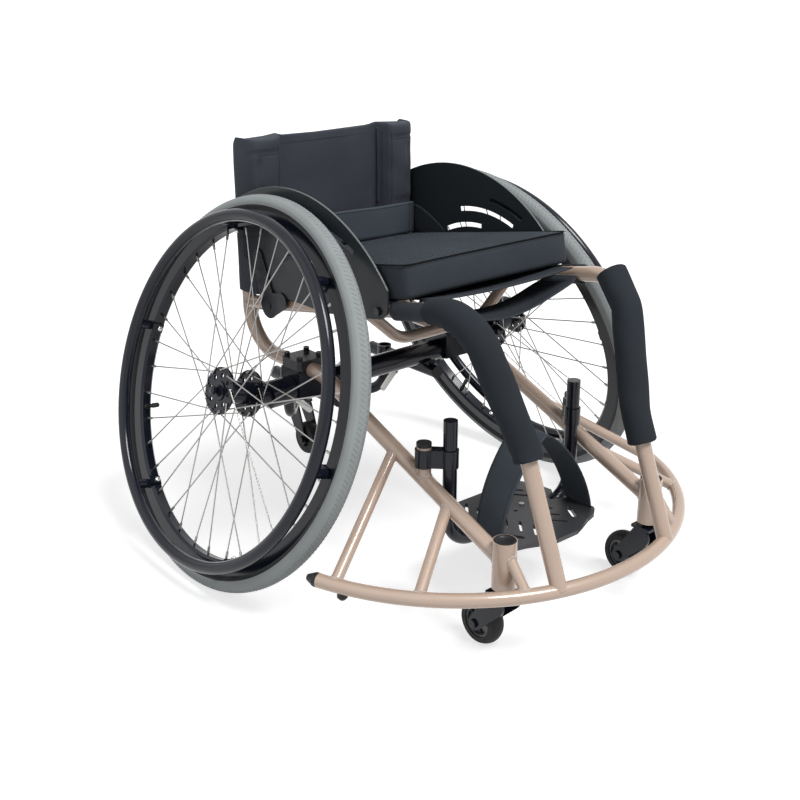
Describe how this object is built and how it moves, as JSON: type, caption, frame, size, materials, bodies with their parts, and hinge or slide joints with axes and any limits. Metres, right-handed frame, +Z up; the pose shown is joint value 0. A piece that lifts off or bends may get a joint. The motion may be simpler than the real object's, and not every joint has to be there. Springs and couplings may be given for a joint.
{
  "type": "sports wheelchair",
  "caption": "Rigid basketball wheelchair with cambered spoked wheels, a wrap-around front bumper, front casters, a rear anti-tip caster, a sliding footrest and a padded seat.",
  "frame": {"origin": "middle of the bounding box on the floor plane", "axes": "+X forward, +Y to the sitter's left, +Z up"},
  "size_m": [0.9009, 0.8652, 0.682],
  "materials": {
    "frame_paint": "satin",
    "black_paint": "gloss",
    "grey_metal": "satin",
    "steel": "polished",
    "tyre_grey": "matte",
    "caster_black": "matte",
    "caster_core": "satin",
    "guard_black": "satin",
    "plug_black": "matte",
    "foam": "matte",
    "nylon": "matte",
    "mesh_cloth": "matte"
  },
  "bodies": {
    "frame": {"main_tube_right": "frame_paint", "main_tube_left": "frame_paint", "seat_rail_right": "frame_paint", "seat_rail_left": "frame_paint", "bumper_tube": "frame_paint", "frame_struts": "frame_paint", "caster_heads": "frame_paint", "seat_cross_tube": "frame_paint", "tube_plugs": "plug_black", "footrest_clamps": "black_paint", "axle_tube": "black_paint", "axle_clamps": "black_paint", "clamp_caps": "grey_metal", "clamp_bolts": "black_paint", "camber_sockets": "black_paint", "axle_pins": "black_paint", "seat_sling": "nylon", "seat_cushion": "mesh_cloth", "backrest": "nylon", "waist_strap": "nylon", "side_guard_right": "guard_black", "side_guard_left": "guard_black", "guard_fixings": "black_paint", "leg_sleeve_right": "foam", "leg_sleeve_left": "foam", "calf_strap": "nylon", "caster_bearings": "steel", "antitip_receivers": "black_paint", "receiver_collars": "black_paint"},
    "wheel_right": {"tyre_right": "tyre_grey", "rim_right": "black_paint", "spokes_right": "steel", "hub_right": "black_paint", "hub_bearings_right": "steel", "handrim_right": "black_paint", "handrim_tabs_right": "black_paint"},
    "axle_button_right": {"axle_button_right": "black_paint"},
    "caster_swivel_right": {"caster_fork_right": "black_paint"},
    "caster_wheel_right": {"caster_core_right": "caster_core", "caster_tyre_right": "caster_black"},
    "release_lever_right": {"release_lever_right": "steel"},
    "wheel_left": {"tyre_left": "tyre_grey", "rim_left": "black_paint", "spokes_left": "steel", "hub_left": "black_paint", "hub_bearings_left": "steel", "handrim_left": "black_paint", "handrim_tabs_left": "black_paint"},
    "axle_button_left": {"axle_button_left": "black_paint"},
    "caster_swivel_left": {"caster_fork_left": "black_paint"},
    "caster_wheel_left": {"caster_core_left": "caster_core", "caster_tyre_left": "caster_black"},
    "release_lever_left": {"release_lever_left": "steel"},
    "antitip_carrier": {"antitip_frame": "black_paint"},
    "antitip_swivel": {"antitip_fork": "black_paint"},
    "antitip_roller": {"antitip_wheel": "caster_black"},
    "footrest": {"footrest_tube": "black_paint", "footplate": "black_paint", "footplate_screws": "steel", "heel_strap": "nylon"}
  },
  "joints": [
    {"name": "wheel_right_spin", "type": "hinge", "parent": "frame", "child": "wheel_right", "pos_m": [-0.1305, -0.299, 0.30512], "axis": [0, -0.9511, 0.309], "continuous": true},
    {"name": "axle_button_right_press", "type": "slide", "parent": "frame", "child": "axle_button_right", "axis": [0, 0.9511, -0.309], "range_m": [0, 0.003], "stiffness_N_per_m": 1500, "springref_m": -0.001},
    {"name": "caster_right_swivel", "type": "hinge", "parent": "frame", "child": "caster_swivel_right", "pos_m": [0.3525, -0.164, 0.11], "axis": [0, 0, 1], "continuous": true},
    {"name": "caster_right_spin", "type": "hinge", "parent": "caster_swivel_right", "child": "caster_wheel_right", "pos_m": [0.3115, -0.164, 0.037], "axis": [0, 1, 0], "continuous": true},
    {"name": "release_lever_right_swing", "type": "hinge", "parent": "frame", "child": "release_lever_right", "pos_m": [-0.2251, -0.115, 0.222], "axis": [-1, 0, 0], "range_deg": [0, 100]},
    {"name": "wheel_left_spin", "type": "hinge", "parent": "frame", "child": "wheel_left", "pos_m": [-0.1305, 0.299, 0.30512], "axis": [0, 0.9511, 0.309], "continuous": true},
    {"name": "axle_button_left_press", "type": "slide", "parent": "frame", "child": "axle_button_left", "axis": [0, -0.9511, -0.309], "range_m": [0, 0.003], "stiffness_N_per_m": 1500, "springref_m": -0.001},
    {"name": "caster_left_swivel", "type": "hinge", "parent": "frame", "child": "caster_swivel_left", "pos_m": [0.3525, 0.164, 0.11], "axis": [0, 0, 1], "continuous": true},
    {"name": "caster_left_spin", "type": "hinge", "parent": "caster_swivel_left", "child": "caster_wheel_left", "pos_m": [0.3115, 0.164, 0.037], "axis": [0, 1, 0], "continuous": true},
    {"name": "release_lever_left_swing", "type": "hinge", "parent": "frame", "child": "release_lever_left", "pos_m": [-0.2251, 0.115, 0.222], "axis": [1, 0, 0], "range_deg": [0, 100]},
    {"name": "antitip_height", "type": "slide", "parent": "frame", "child": "antitip_carrier", "axis": [0, 0, 1], "range_m": [-0.03, 0]},
    {"name": "antitip_swivel_turn", "type": "hinge", "parent": "antitip_carrier", "child": "antitip_swivel", "pos_m": [-0.3775, 0, 0.155], "axis": [0, 0, 1], "continuous": true},
    {"name": "antitip_wheel_spin", "type": "hinge", "parent": "antitip_swivel", "child": "antitip_roller", "pos_m": [-0.3515, 0, 0.075], "axis": [0, 1, 0], "continuous": true},
    {"name": "footrest_height", "type": "slide", "parent": "frame", "child": "footrest", "axis": [0, 0, 1], "range_m": [-0.03, 0.06]}
  ]
}
